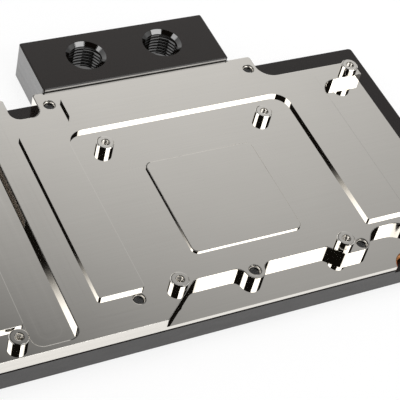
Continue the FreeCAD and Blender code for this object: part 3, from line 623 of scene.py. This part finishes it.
def thread_tree():
    """Node tree that winds one ridge down every hole whose mouth is a point of the input."""
    tree = bpy.data.node_groups.new("thread_turns", "GeometryNodeTree")
    face = tree.interface
    face.new_socket("Hole mouths", in_out="INPUT", socket_type="NodeSocketGeometry")
    face.new_socket("Steps", in_out="INPUT", socket_type="NodeSocketInt")
    for name in ("Wall radius", "Ridge height", "Pitch", "Turns", "North of", "Gap half width", "Gap below"):
        face.new_socket(name, in_out="INPUT", socket_type="NodeSocketFloat")
    face.new_socket("Finish", in_out="INPUT", socket_type="NodeSocketMaterial")
    face.new_socket("Threads", in_out="OUTPUT", socket_type="NodeSocketGeometry")
    graph = Graph(tree)
    given = graph.node("NodeGroupInput").outputs
    pitch = given["Pitch"]
    ridge = given["Ridge height"]
    turns = given["Turns"]
    root = graph.math("ADD", given["Wall radius"], graph.product(ridge, ROOT_SINK), label="root radius")
    length = graph.product(pitch, turns, label="thread length")
    coil = graph.fed("GeometryNodeCurveSpiral", {"Resolution": given["Steps"], "Rotations": turns,
                                                 "Start Radius": root, "End Radius": root, "Height": length},
                     "path of the ridge")
    coil = graph.fed("GeometryNodeSetPosition", {"Geometry": coil,
                                                 "Offset": graph.join(0.0, 0.0, graph.product(length, -1.0))})
    coil = graph.fed("GeometryNodeSetCurveNormal", {"Curve": coil}, mode="Z_UP")
    # the ridge runs out at both ends, at the north limit and beside the passages
    x, y, z = graph.split(graph.node("GeometryNodeInputPosition").outputs[0])
    run = graph.product(graph.node("GeometryNodeSplineParameter").outputs["Factor"], turns)
    ends = graph.product(graph.span(run, 0.0, END_RUN_OUT),
                         graph.span(graph.math("SUBTRACT", turns, run), 0.0, END_RUN_OUT))
    beyond = graph.math("SUBTRACT", y, given["North of"])
    aside = graph.math("SUBTRACT", graph.math("ABSOLUTE", x), given["Gap half width"])
    aside = graph.math("MAXIMUM", aside, graph.math("ADD", z, given["Gap below"]))
    aside = graph.math("MAXIMUM", aside, y, label="way from the passage")
    clear = graph.math("MINIMUM", beyond, aside)
    height = graph.product(ends, graph.span(clear, 0.0, LIMIT_RUN_OUT))
    coil = graph.fed("GeometryNodeSetCurveRadius", {"Curve": coil,
                                                    "Radius": graph.math("MAXIMUM", height, LEAST_RIDGE)})
    depth = graph.product(ridge, 1.0 + ROOT_SINK)
    foot = graph.product(pitch, FOOT_HALF_WIDTH)
    crest = graph.product(pitch, CREST_HALF_WIDTH)
    section = graph.fed("GeometryNodeCurvePrimitiveQuadrilateral",
                        {"Point 1": graph.join(0.0, graph.product(foot, -1.0), 0.0),
                         "Point 2": graph.join(depth, graph.product(crest, -1.0), 0.0),
                         "Point 3": graph.join(depth, crest, 0.0), "Point 4": graph.join(0.0, foot, 0.0)},
                        "ridge section", mode="POINTS")
    section = graph.fed("GeometryNodeFilletCurve", {"Curve": section, "Count": 1,
                                                    "Radius": graph.product(pitch, CREST_ROUNDING)},
                        "rounded crest", mode="POLY")
    shape = graph.fed("GeometryNodeCurveToMesh", {"Curve": coil, "Profile Curve": section, "Fill Caps": True})
    shape = graph.fed("GeometryNodeDeleteGeometry", {"Geometry": shape,
                                                     "Selection": graph.math("LESS_THAN", clear, 0.0)},
                      domain="POINT")
    shape = graph.fed("GeometryNodeInstanceOnPoints", {"Points": given["Hole mouths"], "Instance": shape})
    shape = graph.fed("GeometryNodeRealizeInstances", {0: shape})
    shape = graph.fed("GeometryNodeSetShadeSmooth", {0: shape})
    keen = graph.math("GREATER_THAN", graph.node("GeometryNodeInputMeshEdgeAngle").outputs[0], KEEN_ANGLE)
    shape = graph.fed("GeometryNodeSetShadeSmooth", {0: shape, "Selection": keen, "Shade Smooth": False},
                      "keen ridge edges", domain="EDGE")
    shape = graph.fed("GeometryNodeSetMaterial", {"Geometry": shape, "Material": given["Finish"]})
    graph.feed(graph.node("NodeGroupOutput").inputs["Threads"], shape)
    return tree


def wind_thread(name, tree, mouths, finish, slot, steps, turns, **lengths):
    """One piece with the ridges of every hole of a kind; lengths are in mm.

    Where no north limit or passage is given, both lie a metre away, so that the ridge is whole.
    """
    mesh = bpy.data.meshes.new(name + "_mouths")
    mesh.from_pydata([Vector(mouth) * MM for mouth in mouths], [], [])
    piece = bpy.data.objects.new(name, mesh)
    bpy.context.collection.objects.link(piece)
    modifier = piece.modifiers.new("threads", "NODES")
    modifier.node_group = tree
    values = {"Finish": finish, "Steps": steps, "Turns": turns, "North of": -1.0, "Gap half width": 0.0,
              "Gap below": 1.0}
    for key, value in lengths.items():
        values[key.replace("_", " ").capitalize()] = value * MM
    for item in tree.interface.items_tree:
        if item.in_out == "INPUT" and item.name in values:
            modifier[item.identifier] = values[item.name]
    wound = piece.evaluated_get(bpy.context.evaluated_depsgraph_get())
    piece.data = bpy.data.meshes.new_from_object(wound)
    piece.modifiers.clear()
    piece.data.name = name
    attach(piece, "root")


def turn_rings(name, section, places, steps, finish):
    """Closed rings, one at each place, turned from a section of radius and height in mm."""
    points = []
    faces = []
    size = len(section)
    for x, y in places:
        start = len(points)
        for step in range(steps):
            angle = math.tau * step / steps
            points += [Vector((x + radius * math.cos(angle), y + radius * math.sin(angle), level)) * MM
                       for radius, level in section]
        for step in range(steps):
            here = start + size * step
            there = start + size * ((step + 1) % steps)
            for corner in range(size):
                other = (corner + 1) % size
                faces.append((here + corner, here + other, there + other, there + corner))
    mesh = bpy.data.meshes.new(name)
    mesh.from_pydata(points, [], faces)
    mesh.materials.append(finish)
    piece = bpy.data.objects.new(name, mesh)
    bpy.context.collection.objects.link(piece)
    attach(piece, "root")


# ---------------------------------------------------------------- the part

# cone mouth of a port: radius and height of the corners of its section
PORT_MOUTH = [(7.01, 0.845), (5.77, -0.39), (6.62, -0.92), (6.62, -1.58), (7.01, -1.58)]
# heights at which the threads start
PORT_THREAD_START = -1.5
STANDOFF_THREAD_START = 2.1
TAPPED_THREAD_START = -0.86
BITE_THREAD_START = -4.2
TURNED_BLACK = (0.0035, 0.0025, 0.002)

plating = plated_face()
cover_black = acetal("black_acetal", (0.0085, 0.0058, 0.0048), wall_polish=0.11, roughness=0.2, ior=1.43,
                     broken_above=COVER_BROKEN_EDGE)
terminal_black = acetal("polished_acetal", (0.0085, 0.0052, 0.0036), wall_polish=0.44, roughness=0.2, ior=1.45)
port_black = acetal("turned_acetal", TURNED_BLACK, wall_polish=0.0, roughness=0.06, ior=1.6)
mouth_black = acetal("bright_turned_acetal", TURNED_BLACK, wall_polish=0.0, roughness=0.05, ior=2.3)
sheet = stainless()
screw_black = black_steel()
cord = rubber()
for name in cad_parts:
    if name == "cold_plate" or name.startswith("standoff"):
        dress(name, plating)
    elif name == "cover":
        dress(name, cover_black)
    elif name == "terminal_block":
        dress(name, terminal_black)
    elif name.endswith("seal"):
        dress(name, cord)
    elif name == "jet_plate":
        dress(name, sheet)
    else:
        dress(name, screw_black)

threads = thread_tree()
turn_rings("port_countersinks", PORT_MOUTH, [(x, PORT_Y) for x in PORTS], 96, mouth_black)
wind_thread("port_threads", threads, [(x, PORT_Y, PORT_THREAD_START) for x in PORTS], port_black, "acetal",
            steps=64, turns=6.8, wall_radius=6.58, ridge_height=0.75, pitch=1.337, gap_half_width=4.6, gap_below=4.8)
wind_thread("standoff_threads", threads, [(x, y, STANDOFF_THREAD_START) for x, y in STANDOFFS], plating,
            "plated_hardware", steps=18, turns=8.0, wall_radius=1.25, ridge_height=0.2, pitch=0.5)
wind_thread("tapped_hole_threads", threads, [(x, y, TAPPED_THREAD_START) for x, y in TAPPED_HOLES], plating,
            "nickel_plating", steps=24, turns=1.3, wall_radius=1.9, ridge_height=0.25, pitch=0.7)
wind_thread("bite_thread", threads, [(*BITE, BITE_THREAD_START)], bare_copper(), "nickel_plating",
            steps=48, turns=3.9, wall_radius=5.8, ridge_height=0.5, pitch=0.62, north_of=0.6)

studio_world()
soft_box()
bench()
lens()

scene = bpy.context.scene
scene.view_settings.view_transform = "Standard"
